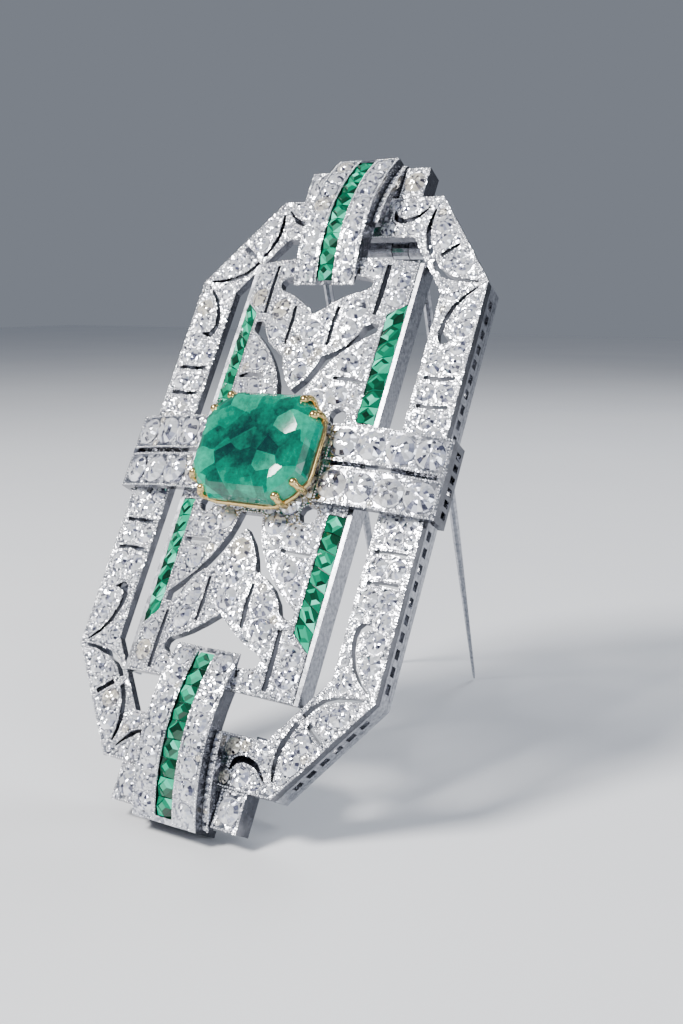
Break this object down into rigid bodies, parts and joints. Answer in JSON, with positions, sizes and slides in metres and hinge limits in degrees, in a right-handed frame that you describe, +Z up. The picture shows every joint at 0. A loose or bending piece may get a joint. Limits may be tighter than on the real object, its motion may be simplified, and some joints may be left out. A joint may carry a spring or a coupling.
{
  "type": "plaque brooch",
  "caption": "Pierced eight-sided plaque brooch with a domed centre panel, emerald in a claw basket, diamond bands and a hinged double pin with a safety flap.",
  "frame": {"origin": "centre of the bounding box's bottom face, on the surface the brooch stands on", "axes": "+Z up; +X to the brooch's right as its front is seen; the front faces -Y and leans back 31.5 degrees on the open pin"},
  "size_m": [0.0364, 0.0538, 0.0618],
  "materials": {
    "platinum": "polished white metal with a fine bright-cut and beaded surface",
    "gold": "polished yellow gold",
    "emerald": "polished, with inclusions",
    "diamond": "polished, brilliant"
  },
  "bodies": {
    "brooch": {"back_rail_left": "platinum", "back_rail_right": "platinum", "band_left": "platinum", "band_right": "platinum", "catch_base": "platinum", "catch_rivet": "platinum", "centre_emerald": "emerald", "centre_panel": "platinum", "claw_1": "gold", "claw_2": "gold", "claw_3": "gold", "claw_4": "gold", "claw_5": "gold", "claw_6": "gold", "claw_7": "gold", "claw_8": "gold", "diamond_left_lower_1": "diamond", "diamond_left_lower_2": "diamond", "diamond_left_lower_3": "diamond", "diamond_left_lower_4": "diamond", "diamond_left_upper_1": "diamond", "diamond_left_upper_2": "diamond", "diamond_left_upper_3": "diamond", "diamond_left_upper_4": "diamond", "diamond_right_lower_1": "diamond", "diamond_right_lower_2": "diamond", "diamond_right_lower_3": "diamond", "diamond_right_lower_4": "diamond", "diamond_right_upper_1": "diamond", "diamond_right_upper_2": "diamond", "diamond_right_upper_3": "diamond", "diamond_right_upper_4": "diamond", "emerald_basket": "gold", "hinge_bracket": "platinum", "hinge_rivet": "platinum", "outer_frame": "platinum", "outer_gallery": "platinum", "panel_rail_left": "platinum", "panel_rail_right": "platinum", "shoulder_bottom_left": "platinum", "shoulder_bottom_right": "platinum", "shoulder_top_left": "platinum", "shoulder_top_right": "platinum", "side_emeralds_bottom_left": "emerald", "side_emeralds_bottom_right": "emerald", "side_emeralds_top_left": "emerald", "side_emeralds_top_right": "emerald", "step_block_bottom_left": "platinum", "step_block_bottom_right": "platinum", "step_block_top_left": "platinum", "step_block_top_right": "platinum", "strap_bottom": "platinum", "strap_emeralds_bottom": "emerald", "strap_emeralds_top": "emerald", "strap_top": "platinum"},
    "pin": {"double_pin": "platinum"},
    "flap": {"safety_flap": "platinum"}
  },
  "joints": [
    {"name": "pin_hinge", "type": "hinge", "parent": "brooch", "child": "pin", "pos_m": [0, 0.01039, 0.05247], "axis": [1, 0, 0], "range_deg": [-48.81, 0]},
    {"name": "flap_hinge", "type": "hinge", "parent": "brooch", "child": "flap", "pos_m": [0, -0.01819, 0.0043], "axis": [1, 0, 0], "range_deg": [0, 100]}
  ]
}
